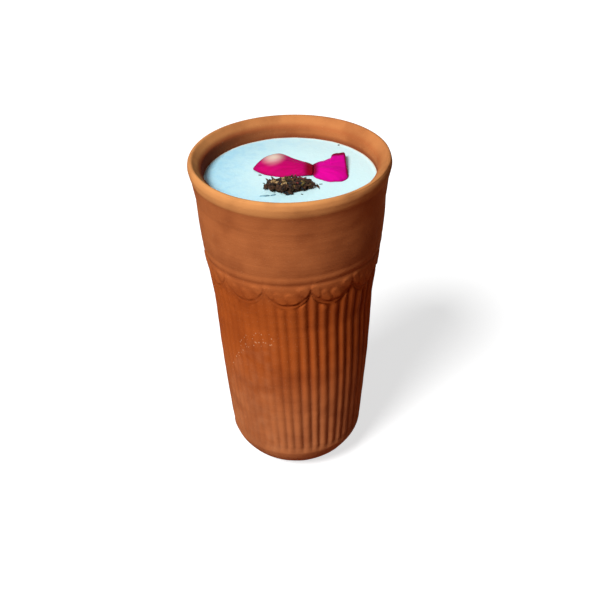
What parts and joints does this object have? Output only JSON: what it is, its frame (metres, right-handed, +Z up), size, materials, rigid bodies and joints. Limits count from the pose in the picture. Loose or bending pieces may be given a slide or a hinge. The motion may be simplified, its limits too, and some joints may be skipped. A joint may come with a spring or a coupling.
{
  "type": "clay cup of rose lassi",
  "caption": "Fluted unglazed clay tumbler filled with pale lassi, topped with two rose petals and a small heap of chopped nuts; it stands on its foot.",
  "frame": {"origin": "middle of the flat foot, on the surface that the cup stands on", "axes": "+Z up along the cup's axis; -Y is the front, with the nuts nearer and the petals behind; +X is to the right"},
  "size_m": [0.085, 0.085, 0.15],
  "materials": {
    "terracotta": "unglazed, matt, fired orange-brown",
    "lassi": "opaque thick drink, soft sheen",
    "rose_petal": "velvety, thin, lets some light through",
    "chopped_nuts": "dull, dark, mixed brown"
  },
  "bodies": {
    "root": {"clay_cup": "terracotta", "lassi": "lassi", "rose_petal_left": "rose_petal", "rose_petal_right": "rose_petal", "garnish_heap": "chopped_nuts"}
  },
  "joints": []
}
